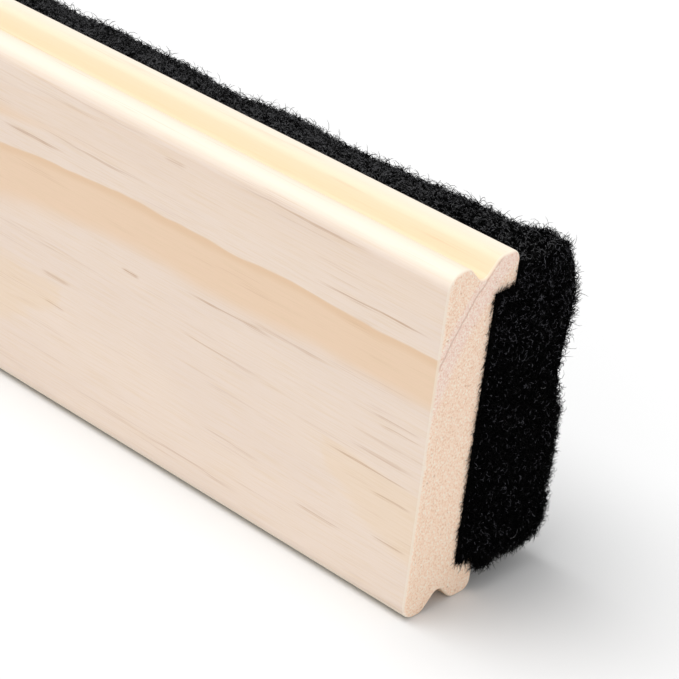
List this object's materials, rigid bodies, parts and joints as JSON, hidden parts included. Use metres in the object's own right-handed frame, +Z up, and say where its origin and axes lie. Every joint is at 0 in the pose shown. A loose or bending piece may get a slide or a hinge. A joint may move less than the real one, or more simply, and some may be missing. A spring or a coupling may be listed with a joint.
{
  "type": "chalkboard eraser",
  "caption": "Chalkboard eraser: moulded pine back with finger coves and a thick black felt pad glued into its rear recess.",
  "frame": {"origin": "middle of the base of the bounding box, with the eraser standing on one moulded long edge", "axes": "+X along the length, +Y from the flat wooden face to the felt's wiping face, +Z up across the width"},
  "size_m": [0.127, 0.0264, 0.0508],
  "materials": {
    "pine": "matte",
    "glue": "matte",
    "felt": "matte"
  },
  "bodies": {
    "root": {"wood_back": "pine", "glue_film": "glue", "felt_pad": "felt"}
  },
  "joints": []
}
